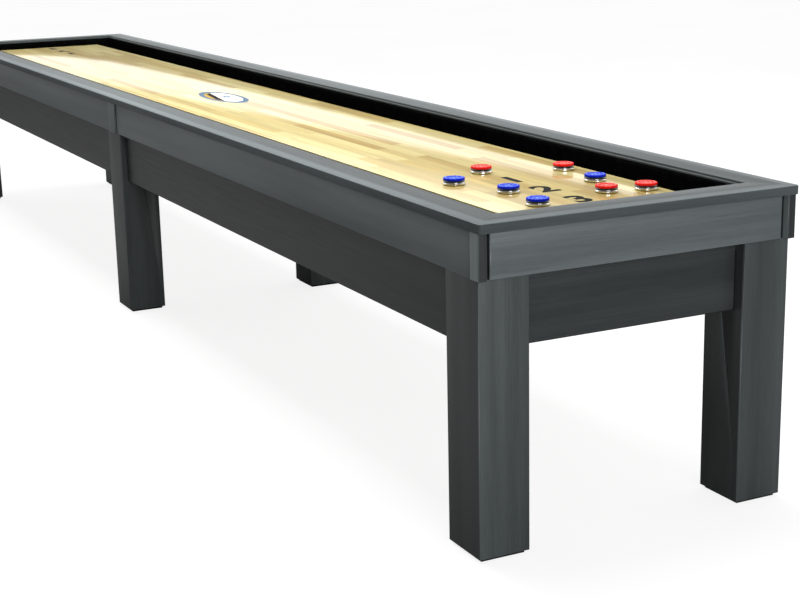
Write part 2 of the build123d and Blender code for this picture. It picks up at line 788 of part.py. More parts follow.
# ---------------------------------------------------------------- weights
for name, puck_x, puck_y in puck_places:
    puck_base = coating_top + puck_lift
    section = Plane(origin=(puck_x, puck_y, puck_base), x_dir=(1, 0, 0), z_dir=(0, -1, 0))
    axis = Axis((puck_x, puck_y, 0), (0, 0, 1))
    with BuildPart() as puck_weight:
        with BuildSketch(section):
            with BuildLine():
                Polyline(
                    (puck_waist_radius, cap_bottom),
                    (cap_spigot_radius + running_gap, cap_bottom),
                    (cap_spigot_radius + running_gap, cap_bottom - cap_spigot_depth - running_gap),
                    (0, cap_bottom - cap_spigot_depth - running_gap),
                    (0, puck_cup_depth),
                    (puck_cup_radius, puck_cup_depth),
                    (puck_cup_radius + puck_cup_depth, 0),
                    (puck_base_radius, 0),
                    (puck_radius, puck_band_low),
                    (puck_radius, puck_band_high),
                )
                ThreePointArc(
                    (puck_radius, puck_band_high),
                    (puck_waist_radius, puck_waist_middle),
                    (puck_shoulder_radius, puck_shoulder),
                )
                Line((puck_shoulder_radius, puck_shoulder), (puck_waist_radius, cap_bottom))
            make_face()
        revolve(axis=axis)
    write_piece(puck_weight, f"puck_weight_{name}")

    with BuildPart() as puck_cap:
        with BuildSketch(section):
            with BuildLine():
                Polyline(
                    (cap_radius - cap_edge_fillet, puck_height),
                    (cap_dish_radius + cap_dish_depth, puck_height),
                    (cap_dish_radius, puck_height - cap_dish_depth),
                    (0, puck_height - cap_dish_depth),
                    (0, cap_bottom - cap_spigot_depth),
                    (cap_spigot_radius, cap_bottom - cap_spigot_depth),
                    (cap_spigot_radius, cap_bottom),
                    (cap_radius - cap_lower_chamfer, cap_bottom),
                    (cap_radius, cap_bottom + cap_lower_chamfer),
                    (cap_radius, puck_height - cap_edge_fillet),
                )
                RadiusArc(
                    (cap_radius, puck_height - cap_edge_fillet),
                    (cap_radius - cap_edge_fillet, puck_height),
                    -cap_edge_fillet,
                )
            make_face()
        revolve(axis=axis)
    write_piece(puck_cap, f"puck_cap_{name}")
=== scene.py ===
"""The looks of the shuffleboard table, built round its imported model.

Metres. +X runs along the table to its near end, +Y across it, and +Z is up.
"""
import json
import math

import bmesh
import bpy
from mathutils import Matrix, Vector, noise


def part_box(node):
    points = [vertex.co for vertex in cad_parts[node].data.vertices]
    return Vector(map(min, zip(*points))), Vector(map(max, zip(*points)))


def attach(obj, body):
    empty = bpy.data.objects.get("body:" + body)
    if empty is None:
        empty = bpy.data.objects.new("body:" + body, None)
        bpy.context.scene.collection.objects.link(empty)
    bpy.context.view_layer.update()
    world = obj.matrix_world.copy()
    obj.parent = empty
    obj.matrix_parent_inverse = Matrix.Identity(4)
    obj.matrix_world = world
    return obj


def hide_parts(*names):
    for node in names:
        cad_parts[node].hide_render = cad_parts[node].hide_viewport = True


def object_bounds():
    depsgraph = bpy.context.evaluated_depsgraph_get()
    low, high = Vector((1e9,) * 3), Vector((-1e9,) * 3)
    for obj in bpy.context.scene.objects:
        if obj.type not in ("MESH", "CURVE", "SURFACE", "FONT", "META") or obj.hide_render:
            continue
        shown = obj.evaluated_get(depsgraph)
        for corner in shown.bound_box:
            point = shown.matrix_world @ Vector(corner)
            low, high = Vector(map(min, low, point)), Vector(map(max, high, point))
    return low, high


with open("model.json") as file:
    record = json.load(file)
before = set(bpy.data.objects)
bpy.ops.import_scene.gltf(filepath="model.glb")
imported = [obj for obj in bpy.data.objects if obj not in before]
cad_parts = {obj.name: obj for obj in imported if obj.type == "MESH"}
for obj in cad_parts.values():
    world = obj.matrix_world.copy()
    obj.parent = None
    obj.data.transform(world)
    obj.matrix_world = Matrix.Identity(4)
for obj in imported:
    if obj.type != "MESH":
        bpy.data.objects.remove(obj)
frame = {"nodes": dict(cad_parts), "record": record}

cad_low, cad_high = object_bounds()
MM = 0.001

slot_of_node = {part["node"]: part["material_slot"] for part in frame["record"]["subparts"]}
body_of_node = {
    node: body for body, nodes in frame["record"]["behaviour"]["bodies"].items() for node in nodes
}


# ---------------------------------------------------------------- shader building
def add_node(tree, kind, inputs=None, **settings):
    """Add a shader node, set its properties, and set or link its inputs by name or number."""
    made = tree.nodes.new(kind)
    for name, value in settings.items():
        setattr(made, name, value)
    for name, value in (inputs or {}).items():
        if isinstance(value, bpy.types.NodeSocket):
            tree.links.new(value, made.inputs[name])
        else:
            made.inputs[name].default_value = value
    return made


def calculate(tree, operation, first, second=0.0):
    """The result of a sum on two numbers or sockets."""
    return add_node(tree, "ShaderNodeMath", {0: first, 1: second}, operation=operation).outputs[0]


def rescale(tree, value, low, high, from_low=0.0, from_high=1.0):
    """A value moved from one range to another, and kept inside it."""
    inputs = {"Value": value, "From Min": from_low, "From Max": from_high, "To Min": low, "To Max": high}
    return add_node(tree, "ShaderNodeMapRange", inputs).outputs["Result"]


def tint(tree, colour, factor):
    """A colour made darker or lighter by a factor."""
    grey = add_node(tree, "ShaderNodeCombineXYZ", {0: factor, 1: factor, 2: factor}).outputs[0]
    return add_node(
        tree, "ShaderNodeVectorMath", {0: colour, 1: grey}, operation="MULTIPLY"
    ).outputs[0]


def ramp(tree, value, stops):
    """A colour read from stops of place and colour."""
    made = add_node(tree, "ShaderNodeValToRGB", {"Fac": value})
    elements = made.color_ramp.elements
    while len(elements) < len(stops):
        elements.new(0.5)
    for element, (place, colour) in zip(elements, stops):
        element.position = place
        element.color = (*colour, 1.0)
    return made.outputs["Color"]


def cloud(tree, position, scale, detail=3.0, roughness=0.5):
    """Smooth noise from 0 to 1, with about scale spots to the metre."""
    inputs = {"Vector": position, "Scale": scale, "Detail": detail, "Roughness": roughness}
    return add_node(tree, "ShaderNodeTexNoise", inputs).outputs["Fac"]


# Nearly all of a cloud lies between these two values.
CLOUD_LOW = 0.3
CLOUD_HIGH = 0.7


def spread(tree, noise_value, low, high):
    """A cloud's values spread from a low number to a high one."""
    return rescale(tree, noise_value, low, high, CLOUD_LOW, CLOUD_HIGH)


def blend(tree, noise_value, dark, light):
    """A cloud's values as colours between two."""
    return ramp(tree, noise_value, [(CLOUD_LOW, dark), (CLOUD_HIGH, light)])


def scaled(colour, factor):
    """A plain colour made darker or lighter by a factor."""
    return tuple(part * factor for part in colour)


def bumped(tree, height, strength, distance):
    """A normal that follows a height, whose full swing is distance."""
    inputs = {"Height": height, "Strength": strength, "Distance": distance}
    return add_node(tree, "ShaderNodeBump", inputs).outputs["Normal"]


def new_material(name):
    """A material with an empty Principled shader, as its tree, shader and position in the frame."""
    material = bpy.data.materials.new(name)
    material.use_nodes = True
    tree = material.node_tree
    shader = tree.nodes["Principled BSDF"]
    position = add_node(tree, "ShaderNodeTexCoord").outputs["Object"]
    return material, tree, shader, position


def connect(tree, shader, **sockets):
    """Link or set the shader's inputs, whose names are written with underscores."""
    for name, value in sockets.items():
        socket = shader.inputs[name.replace("_", " ")]
        if isinstance(value, bpy.types.NodeSocket):
            tree.links.new(value, socket)
        else:
            socket.default_value = value


def retint(material, factor):
    """Multiply the colour of a finished material by a factor."""
    tree = material.node_tree
    shader = tree.nodes["Principled BSDF"]
    plain = shader.inputs["Base Color"].links[0].from_socket
    connect(tree, shader, Base_Color=tint(tree, plain, factor))


def size_along(tree, kind, axis):
    """The size, without its sign, of a place (Object) or a normal (Normal) along an axis."""
    whole = add_node(tree, "ShaderNodeTexCoord").outputs[kind]
    part = add_node(tree, "ShaderNodeSeparateXYZ", {0: whole}).outputs[axis]
    return calculate(tree, "ABSOLUTE", part)


# ---------------------------------------------------------------- wood
AXES = "XYZ"
PIECE_SHIFT = 7.0
STREAK_STRETCH = 22.0
FIBRE_STRETCH = 45.0
FIBRES = 260.0
PORE_STRETCH = 30.0
PORES = 700.0
PORE_RELIEF = 0.6
GRAIN_RELIEF = 0.2 * MM


def along_grain(tree, position, axis, stretch):
    """The position squeezed along the grain, so that noise there runs in long streaks.

    Each piece reads the noise at a place of its own.
    """
    scale = [1.0, 1.0, 1.0]
    scale[AXES.index(axis)] = 1.0 / stretch
    shift = add_node(tree, "ShaderNodeObjectInfo").outputs["Random"]
    moved = calculate(tree, "MULTIPLY", shift, PIECE_SHIFT)
    place = add_node(tree, "ShaderNodeCombineXYZ", {0: moved, 1: moved, 2: moved}).outputs[0]
    inputs = {"Vector": position, "Location": place, "Scale": scale}
    return add_node(tree, "ShaderNodeMapping", inputs).outputs["Vector"]


def grained_wood(name, axis, dark, light, streaks, specular, roughness):
    """Sawn wood with soft broad streaks, and fine open pores that run along an axis."""
    material, tree, shader, position = new_material(name)
    broad = cloud(tree, along_grain(tree, position, axis, STREAK_STRETCH), streaks, 2.5, 0.55)
    fine = cloud(tree, along_grain(tree, position, axis, FIBRE_STRETCH), FIBRES, 3.0, 0.6)
    pores = cloud(tree, along_grain(tree, position, axis, PORE_STRETCH), PORES, 2.0, 0.5)
    colour = blend(tree, broad, dark, light)
    colour = tint(tree, colour, spread(tree, fine, 0.9, 1.09))
    colour = tint(tree, colour, rescale(tree, pores, 0.82, 1.0, 0.28, 0.42))
    height = calculate(tree, "ADD", fine, calculate(tree, "MULTIPLY", pores, PORE_RELIEF))
    connect(
        tree,
        shader,
        Base_Color=colour,
        Roughness=spread(tree, fine, roughness - 0.05, roughness + 0.07),
        Normal=bumped(tree, height, 0.18, GRAIN_RELIEF),
    )
    shader.inputs["Specular IOR Level"].default_value = specular
    return material


STAIN_DARK = (0.082, 0.097, 0.1)
STAIN_LIGHT = (0.16, 0.184, 0.188)
STAIN_STREAKS = 13.0
STAIN_ROUGHNESS = 0.33
STAIN_SHEEN = 0.5
# The stain's lightness on the nodes whose names start so. Part of it is painted shade and light: the
# aprons and legs are made darker, and the corner posts lighter, than their stain alone.
STAIN_AND_SHADE_DEPTHS = {
    "top_rail": 0.56,
    "corner_posts": 1.6,
    "leg_": 0.6,
    "end_panel": 1.0,
    "side_panel": 1.0,
    "side_aprons": 0.17,
    "end_apron": 0.33,
}
# An axis, and the painted shade on faces across it and along it: a face is made darker or lighter by the
# way it looks, as light falls on it.
PAINTED_FACING_SHADES = {
    "top_rail": ("Z", 0.8, 1.0),
    "corner_posts": ("X", 1.0, 0.18),
    "leg_": ("X", 0.56, 1.0),
}
FACES_ACROSS = 0.3
FACES_ALONG = 0.95
# The axis that a panel faces along, and how far out its face is, for the painted shade in the gaps behind
# that face.
GAP_FACES = {
    "end_panel": ("X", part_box("end_panel_near")[1].x),
    "side_panel": ("Y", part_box("side_panels_right")[1].y),
}
GAP_DARK_DEPTH = 7.0 * MM
GAP_CLEAR_DEPTH = 1.0 * MM
GAP_SHADE = 0.08
RAIL_SHEEN = 0.06
# A painted highlight: a lighter band along the rails' outer edge, where the rounded band catches the
# light.
RAIL_HIGHLIGHT_BAND = 30.0 * MM
RAIL_HIGHLIGHT_FADE = 0.15
RAIL_HIGHLIGHT_GAIN = 1.8


def stained_wood(name, axis, depth, sheen):
    """The grey stain. A depth below 1 makes it darker, partly as a darker coat and partly as painted
    shade.
    """
    dark, light = scaled(STAIN_DARK, depth), scaled(STAIN_LIGHT, depth)
    return grained_wood(name, axis, dark, light, STAIN_STREAKS, sheen, STAIN_ROUGHNESS)


def paint_facing_shade(material, axis, across, along):
    """Paint shade on the faces that look across an axis by one factor, and on those along it by another.
    """
    tree = material.node_tree
    facing = size_along(tree, "Normal", axis)
    retint(material, rescale(tree, facing, across, along, FACES_ACROSS, FACES_ALONG))


def paint_gap_shade(material, axis, face):
    """Paint shade on what lies behind a panel's outer face, in the gaps beside the posts where shadow
    falls.
    """
    tree = material.node_tree
    reach = size_along(tree, "Object", axis)
    dark, clear = face - GAP_DARK_DEPTH, face - GAP_CLEAR_DEPTH
    retint(material, rescale(tree, reach, GAP_SHADE, 1.0, dark, clear))


def paint_outer_edge_highlight(material):
    """Paint a lighter band along the table's outer edge: a painted highlight where the rail's rounded
    outer band catches the light.
    """
    tree = material.node_tree
    reaches = [
        calculate(tree, "SUBTRACT", size_along(tree, "Object", axis), edge)
        for axis, edge in (("X", cad_high.x), ("Y", cad_high.y))
    ]
    reach = calculate(tree, "MAXIMUM", *reaches)
    start = -(1.0 + RAIL_HIGHLIGHT_FADE) * RAIL_HIGHLIGHT_BAND
    end = -(1.0 - RAIL_HIGHLIGHT_FADE) * RAIL_HIGHLIGHT_BAND
    retint(material, rescale(tree, reach, 1.0, RAIL_HIGHLIGHT_GAIN, start, end))


HARDWOOD_DARK = (0.34, 0.2, 0.1)
HARDWOOD_LIGHT = (0.5, 0.33, 0.18)
hardwood = {
    axis: grained_wood(f"frame_hardwood_{axis}", axis, HARDWOOD_DARK, HARDWOOD_LIGHT, 30.0, 0.3, 0.62)
    for axis in AXES
}

PLY = 1.5 * MM


def plywood():
    """Birch plywood: pale faces, and thin dark and light plies that show at the edges."""
    material, tree, shader, position = new_material("birch_plywood")
    broad = cloud(tree, along_grain(tree, position, "X", 18.0), 24.0, 3.0)
    colour = blend(tree, broad, (0.5, 0.33, 0.17), (0.68, 0.5, 0.3))
    height = add_node(tree, "ShaderNodeSeparateXYZ", {0: position}).outputs["Z"]
    plies = calculate(tree, "PINGPONG", height, PLY)
    colour = tint(tree, colour, rescale(tree, plies, 0.82, 1.0, 0.0, PLY))
    fine = cloud(tree, along_grain(tree, position, "X", 40.0), 300.0)
    connect(tree, shader, Base_Color=colour, Roughness=0.68, Normal=bumped(tree, fine, 0.2, GRAIN_RELIEF))
    return material


STRIP_WIDTH = 39.0 * MM
BLOCK_LENGTH = 0.62
STRIP_STAGGER = 5.0
MAPLE_TONES = [
    (0.0, (0.45, 0.3, 0.08)),
    (0.25, (0.56, 0.42, 0.14)),
    (0.6, (0.65, 0.53, 0.21)),
    (1.0, (0.74, 0.64, 0.29)),
]
COAT_WEIGHT = 0.75
COAT_ROUGHNESS = 0.07
COAT_RIPPLE = 0.5 * MM
UNDERCOAT_GLOSS = 0.06


def maple(name, coat):
    """A butcher-block top: strips glued side by side, each cut into staggered maple blocks."""
    material, tree, shader, position = new_material(name)
    place = add_node(tree, "ShaderNodeSeparateXYZ", {0: position})
    strip = calculate(tree, "FLOOR", calculate(tree, "DIVIDE", place.outputs["Y"], STRIP_WIDTH))
    offset = add_node(
        tree, "ShaderNodeTexWhiteNoise", {"W": strip}, noise_dimensions="1D"
    ).outputs["Value"]
    stagger = calculate(tree, "MULTIPLY", offset, STRIP_STAGGER)
    moved = calculate(tree, "ADD", place.outputs["X"], stagger)
    block = calculate(tree, "FLOOR", calculate(tree, "DIVIDE", moved, BLOCK_LENGTH))
    identity = add_node(tree, "ShaderNodeCombineXYZ", {0: strip, 1: block}).outputs[0]
    tone = add_node(
        tree, "ShaderNodeTexWhiteNoise", {"Vector": identity}, noise_dimensions="2D"
    ).outputs["Value"]
    colour = ramp(tree, tone, MAPLE_TONES)
    grain_place = along_grain(tree, position, "X", 26.0)
    shifted = add_node(
        tree, "ShaderNodeVectorMath", {0: grain_place, 1: identity}, operation="ADD"
    ).outputs[0]
    streak = cloud(tree, shifted, 90.0, 4.0, 0.6)
    figure = cloud(tree, shifted, 24.0, 2.0)
    colour = tint(tree, colour, spread(tree, streak, 0.82, 1.08))
    colour = tint(tree, colour, spread(tree, figure, 0.84, 1.08))
    connect(tree, shader, Base_Color=colour)
    if coat:
        ripple = cloud(tree, position, 9.0, 1.0)
        connect(tree, shader, Roughness=rescale(tree, streak, 0.3, 0.4))
        shader.inputs["Specular IOR Level"].default_value = UNDERCOAT_GLOSS
        connect(tree, shader, Coat_Normal=bumped(tree, ripple, 0.12, COAT_RIPPLE))
        shader.inputs["Coat Weight"].default_value = COAT_WEIGHT
        shader.inputs["Coat Roughness"].default_value = COAT_ROUGHNESS
    else:
        connect(tree, shader, Roughness=0.55, Normal=bumped(tree, streak, 0.2, GRAIN_RELIEF))
    return material


# ---------------------------------------------------------------- carpet, metal and plastic
TUFTS = 420.0
TUFT_RELIEF = 1.2 * MM


def carpet():
    """Black cut pile: fine tufts that swallow light."""
    material, tree, shader, position = new_material("black_carpet")
    cells = add_node(tree, "ShaderNodeTexVoronoi", {"Vector": position, "Scale": TUFTS})
    pile = bumped(tree, cells.outputs["Distance"], 0.7, TUFT_RELIEF)
    lie = cloud(tree, position, 35.0)
    colour = blend(tree, lie, (0.0012, 0.0014, 0.0013), (0.0035, 0.004, 0.0037))
    connect(tree, shader, Base_Color=colour, Roughness=0.95, Normal=pile)
    shader.inputs["Specular IOR Level"].default_value = 0.0
    return material


SCRATCHES = 500.0
SCRATCH_RELIEF = 0.05 * MM


def metal(name, colour, roughness):
    """Worked metal with a little tarnish and fine scratches."""
    material, tree, shader, position = new_material(name)
    tarnish = cloud(tree, position, 60.0, 4.0)
    scratches = cloud(tree, along_grain(tree, position, "Z", 0.08), SCRATCHES, 2.0)
    connect(
        tree,
        shader,
        Base_Color=ramp(tree, tarnish, [(0.25, scaled(colour, 0.86)), (0.6, colour)]),
        Roughness=spread(tree, scratches, roughness * 0.8, roughness * 1.35),
        Normal=bumped(tree, scratches, 0.15, SCRATCH_RELIEF),
    )
    shader.inputs["Metallic"].default_value = 1.0
    return material


RINGS = 2600.0
RING_RELIEF = 0.01 * MM


def chrome(name, waist_bottom, waist_top):
    """Bright plating over turned steel, with lathe rings, and a painted dark reflection up the waist
    under the cap.
    """
    material, tree, shader, position = new_material(name)
    height = add_node(tree, "ShaderNodeSeparateXYZ", {0: position}).outputs["Z"]
    # Painted dark reflection: the plating's colour darkens up the waist towards the cap.
    painted_waist_shade = rescale(tree, height, 1.0, 0.1, waist_bottom, waist_top)
    rings = add_node(tree, "ShaderNodeTexNoise", {"W": height, "Scale": RINGS}, noise_dimensions="1D")
    haze = cloud(tree, position, 90.0, 2.0)
    plate = ramp(tree, haze, [(0.3, (0.8, 0.81, 0.83)), (0.6, (0.9, 0.91, 0.92))])
    connect(
        tree,
        shader,
        Base_Color=tint(tree, plate, painted_waist_shade),
        Roughness=spread(tree, haze, 0.05, 0.12),
        Normal=bumped(tree, rings.outputs["Fac"], 0.1, RING_RELIEF),
    )
    shader.inputs["Metallic"].default_value = 1.0
    return material


def moulded_plastic(name, colour, roughness, gloss):
    """Moulded plastic with slight mottling, and hairline scratches from use."""
    material, tree, shader, position = new_material(name)
    mottle = cloud(tree, position, 140.0, 2.0)
    hairlines = cloud(tree, along_grain(tree, position, "Y", 25.0), 900.0, 1.0)
    connect(
        tree,
        shader,
        Base_Color=ramp(tree, mottle, [(0.3, scaled(colour, 0.82)), (0.65, colour)]),
        Roughness=rescale(tree, hairlines, roughness * 0.85, roughness * 1.5, 0.35, 0.7),
        Normal=bumped(tree, hairlines, 0.05, SCRATCH_RELIEF),
    )
    shader.inputs["Specular IOR Level"].default_value = gloss
    return material


WEIGHT_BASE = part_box("puck_weight_red_1")[0].z
WAIST_BOTTOM = WEIGHT_BASE + 6.5 * MM
WAIST_TOP = WEIGHT_BASE + 8.0 * MM
CAP_ROUGHNESS = 0.4
CAP_GLOSS = 0.08
RED = (0.9, 0.013, 0.009)
BLUE = (0.001, 0.017, 0.6)
materials = {
    "maple_board": maple("maple_board", coat=False),
    "clear_coating": maple("clear_coating", coat=True),
    "black_carpet": carpet(),
    "birch_plywood": plywood(),
    "zinc_steel": metal("zinc_steel", (0.6, 0.61, 0.63), 0.32),
    "brass_insert": metal("brass_insert", (0.72, 0.52, 0.22), 0.3),
    "chromed_steel": chrome("chromed_steel", WAIST_BOTTOM, WAIST_TOP),
    "black_plastic": moulded_plastic("black_plastic", (0.01, 0.01, 0.011), 0.5, 0.4),
    "red_plastic": moulded_plastic("red_plastic", RED, CAP_ROUGHNESS, CAP_GLOSS),
    "blue_plastic": moulded_plastic("blue_plastic", BLUE, CAP_ROUGHNESS, CAP_GLOSS),
}
print_materials = {
    "red": moulded_plastic("print_on_red", (0.92, 0.42, 0.35), CAP_ROUGHNESS, CAP_GLOSS),
    "blue": moulded_plastic("print_on_blue", (0.25, 0.5, 0.92), CAP_ROUGHNESS, CAP_GLOSS),
}
mark_materials = {
    "black": moulded_plastic("mark_black", (0.004, 0.004, 0.005), 0.5, 0.03),
    "slate": moulded_plastic("mark_slate", (0.075, 0.14, 0.21), 0.5, 0.1),
    "white": moulded_plastic("mark_white", (0.85, 0.87, 0.88), 0.5, 0.1),
    "gold": moulded_plastic("mark_gold", (0.4, 0.25, 0.04), 0.5, 0.1),
}

UPRIGHT_NODES = ("leg_", "corner_posts", "mid_stiles", "corner_blocks")
stained = {}


def grain_axis(node):
    """The way a wooden node's grain runs: up a post, and along anything else."""
    if node.startswith(UPRIGHT_NODES):
        return "Z"
    if node in ("crossbeams", "board_bearers"):
        return "Y"
    low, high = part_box(node)
    size = high - low
    return "X" if size.x > size.y else "Y"


def stain_for(node):
    """The stained wood for a node, made once for each grain direction and family of piece, with that
    family's painted shade and highlight.
    """
    axis = grain_axis(node)
    family = next((prefix for prefix in STAIN_AND_SHADE_DEPTHS if node.startswith(prefix)), "")
    if (axis, family) not in stained:
        name = f"stained_{family.rstrip('_') or 'panel'}_{axis}"
        sheen = RAIL_SHEEN if family == "top_rail" else STAIN_SHEEN
        stained[axis, family] = stained_wood(name, axis, STAIN_AND_SHADE_DEPTHS.get(family, 1.0), sheen)
        # Painted shade: faces darker or lighter by the way they look.
        if family in PAINTED_FACING_SHADES:
            paint_facing_shade(stained[axis, family], *PAINTED_FACING_SHADES[family])
        # Painted shade in the gaps beside the posts.
        if family in GAP_FACES:
            paint_gap_shade(stained[axis, family], *GAP_FACES[family])
        # A painted highlight along the rails' outer edge.
        if family == "top_rail":
            paint_outer_edge_highlight(stained[axis, family])
    return stained[axis, family]


def material_for(node):
    """The material of a CAD node, by its slot."""
    slot = slot_of_node[node]
    if slot == "stained_wood":
        return stain_for(node)
    if slot == "frame_hardwood":
        return hardwood[grain_axis(node)]
    return materials[slot]


def paint(piece, material):
    """Give a piece one material."""
    piece.data.materials.clear()
    piece.data.materials.append(material)


# ---------------------------------------------------------------- building pieces
def add_piece(name, mesh, material, body):
    """Put a mesh in the scene as a piece of the table."""
    piece = bpy.data.objects.new(name, mesh)
    bpy.context.scene.collection.objects.link(piece)
    paint(piece, material)
    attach(piece, body)
    return piece


def mesh_from(name, built):
    """Turn a bmesh into a mesh with its faces outward."""
    bmesh.ops.recalc_face_normals(built, faces=built.faces)
    mesh = bpy.data.meshes.new(name)
    built.to_mesh(mesh)
    built.free()
    return mesh


def applied(piece):
    """Turn a piece's modifiers into its mesh."""
    graph = bpy.context.evaluated_depsgraph_get()
    mesh = bpy.data.meshes.new_from_object(piece.evaluated_get(graph))
    piece.modifiers.clear()
    piece.data = mesh


WELD = 0.01 * MM
FLAT_ANGLE = math.radians(0.5)
ARRIS_ANGLE = math.radians(25.0)
SHORTEST_ARRIS = 20.0 * MM
CREASE_ANGLE = math.radians(50.0)


def softened(node, radius):
    """Stand a copy of a CAD node in its place, with its long arrises rounded."""
    source = frame["nodes"][node]
    built = bmesh.new()
    built.from_mesh(source.data)
    bmesh.ops.remove_doubles(built, verts=built.verts, dist=WELD)
    bmesh.ops.dissolve_limit(built, angle_limit=FLAT_ANGLE, verts=built.verts, edges=built.edges)
    weight = built.edges.layers.float.new("bevel_weight_edge")
    for edge in built.edges:
        sharp = edge.is_manifold and edge.calc_face_angle() > ARRIS_ANGLE
        edge[weight] = 1.0 if sharp and edge.calc_length() > SHORTEST_ARRIS else 0.0
    for face in built.faces:
        face.smooth = True
    mesh = mesh_from(f"{node}_finished", built)
    mesh.set_sharp_from_angle(angle=CREASE_ANGLE)
    piece = add_piece(f"{node}_finished", mesh, material_for(node), body_of_node[node])
    rounding = piece.modifiers.new("rounding", "BEVEL")
    rounding.limit_method = "WEIGHT"
    rounding.width = radius
    rounding.segments = 3
    rounding.harden_normals = True
    applied(piece)
    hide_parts(node)


# ---------------------------------------------------------------- top rails
rail_low, rail_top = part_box("top_rail_right")
liner_low, liner_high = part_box("gutter_liners")
coating_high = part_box("playfield_coating")[1]
TABLE_HALF = (cad_high.x, cad_high.y)
RAIL_WIDTH = 95.0 * MM
RAIL_FLAT = 52.0 * MM
RAIL_DROP = 2.0 * MM
RAIL_CORNER = 9.0 * MM
RAIL_HEIGHT = rail_top.z
RAIL_UNDERSIDE = rail_low.z
LINER_TOP = liner_high.z
CARPET = 3.0 * MM
LIP_STEP = 4.5 * MM
LIP_HEIGHT = 6.0 * MM
TOP_ROUND = 2.5 * MM
ARRIS = 1.8 * MM
ARRIS_START = 62.0
BEAD = 1.4 * MM
CROWN_SHARE = 0.96
CORNER_STEPS = 6
RAIL_STEP = 0.4
RAIL_CREASE_ANGLE = math.radians(38.0)


def arc(centre, radius, start, end, steps):
    """Points on an arc, by angles in degrees."""
    turn = [math.radians(start + (end - start) * step / steps) for step in range(steps + 1)]
    return [(centre[0] + radius * math.cos(t), centre[1] + radius * math.sin(t)) for t in turn]


def rail_section():
    """A rail's outline, across it from its inner lip and up. It runs on from the underside."""
    lip_top = LINER_TOP + LIP_HEIGHT
    across = RAIL_WIDTH - RAIL_FLAT
    radius = (across**2 + RAIL_DROP**2) / (2 * RAIL_DROP)
    full_turn = math.degrees(math.asin(across / radius))
    edge_height = RAIL_HEIGHT - RAIL_DROP
    crown = arc((RAIL_FLAT, RAIL_HEIGHT - radius), radius, 90.0, 90.0 - full_turn * CROWN_SHARE, 12)
    outline = [(CARPET, RAIL_UNDERSIDE), (CARPET, LINER_TOP), (BEAD, LINER_TOP)]
    outline += arc((BEAD, LINER_TOP + BEAD), BEAD, 270.0, 180.0, 4)[1:]
    outline += arc((BEAD, lip_top - BEAD), BEAD, 180.0, 90.0, 4)
    outline += arc((LIP_STEP - BEAD, lip_top + BEAD), BEAD, 270.0, 360.0, 4)
    outline += arc((LIP_STEP + TOP_ROUND, RAIL_HEIGHT - TOP_ROUND), TOP_ROUND, 180.0, 90.0, 5)
    outline += crown
    outline += arc((RAIL_WIDTH - ARRIS, edge_height - ARRIS), ARRIS, ARRIS_START, 0.0, 4)
    outline += arc((RAIL_WIDTH - ARRIS, RAIL_UNDERSIDE + ARRIS), ARRIS, 0.0, -90.0, 4)
    return outline


def rail_path_end(across, half_opening, step):
    """Where a line of the rail runs at its mitred end, as along and past the opening.

    The line turns round the table's corner from step 0, and meets the mitre at the last step.
    """
    inside = RAIL_WIDTH - RAIL_CORNER
    if across <= inside:
        return half_opening + across, across
    angle = math.radians(90.0 - 45.0 * step / CORNER_STEPS)
    reach = across - inside
    return half_opening + inside + reach * math.cos(angle), inside + reach * math.sin(angle)


def mitred_rail(node, along, side):
    """A moulded rail with mitred ends, in place of its CAD node. along is 0 for X and 1 for Y."""
    section = rail_section()
    half_along = TABLE_HALF[along] - RAIL_WIDTH
    half_across = TABLE_HALF[1 - along] - RAIL_WIDTH
    straight_steps = max(2, round(half_along * 2 / RAIL_STEP))
    built = bmesh.new()
    rings = []

    def add_ring(points):
        """Add the section's corners at their places along the rail and out from the opening."""
        ring = []
        for (run, out), (_, height) in zip(points, section):
            place = [0.0, 0.0, height]
            place[along] = run
            place[1 - along] = side * (half_across + out)
            ring.append(built.verts.new(place))
        rings.append(ring)

    for step in range(CORNER_STEPS, -1, -1):
        ends = [rail_path_end(across, half_along, step) for across, _ in section]
        add_ring([(-run, out) for run, out in ends])
    for step in range(1, straight_steps):
        share = 2 * step / straight_steps - 1
        add_ring([(share * half_along, across) for across, _ in section])
    for step in range(CORNER_STEPS + 1):
        add_ring([rail_path_end(across, half_along, step) for across, _ in section])

    count = len(section)
    for ring, following in zip(rings, rings[1:]):
        for index in range(count):
            after = (index + 1) % count
            built.faces.new((ring[index], ring[after], following[after], following[index]))
    built.faces.new(rings[0])
    built.faces.new(list(reversed(rings[-1])))
    bmesh.ops.remove_doubles(built, verts=built.verts, dist=WELD)
    bmesh.ops.dissolve_degenerate(built, dist=WELD, edges=built.edges)
    for face in built.faces:
        face.smooth = True
    mesh = mesh_from(f"{node}_finished", built)
    mesh.set_sharp_from_angle(angle=RAIL_CREASE_ANGLE)
    piece = add_piece(f"{node}_finished", mesh, material_for(node), body_of_node[node])
    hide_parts(node)


mitred_rail("top_rail_right", 0, 1)
mitred_rail("top_rail_left", 0, -1)
mitred_rail("top_rail_near", 1, 1)
mitred_rail("top_rail_far", 1, -1)

# ---------------------------------------------------------------- cabinet, legs and feet
WOOD_ROUNDING = 0.9 * MM
PAD_ROUNDING = 1.0 * MM
COATING_ROUNDING = 1.2 * MM

for node, slot in slot_of_node.items():
    if slot == "stained_wood" and not node.startswith("top_rail"):
        softened(node, WOOD_ROUNDING)
    elif slot == "black_plastic":
        softened(node, PAD_ROUNDING)
softened("playfield_coating", COATING_ROUNDING)

# ---------------------------------------------------------------- gutter carpet
FLOOR_TOP = liner_low.z + CARPET
CARPET_BEND = 7.0 * MM
CARPET_BACKING = 0.8 * CARPET
PILE = 0.35 * MM
PILE_SPOTS = 160.0
CARPET_STEP = 12.0 * MM
GUTTER_SIDE_INNER = 240.0 * MM
GUTTER_END_INNER = coating_high.x - 8.0 * MM


def spaced(start, end, step):
    """Numbers from start to end, about a step apart."""
    count = max(1, round(abs(end - start) / step))
    return [start + (end - start) * index / count for index in range(count + 1)]


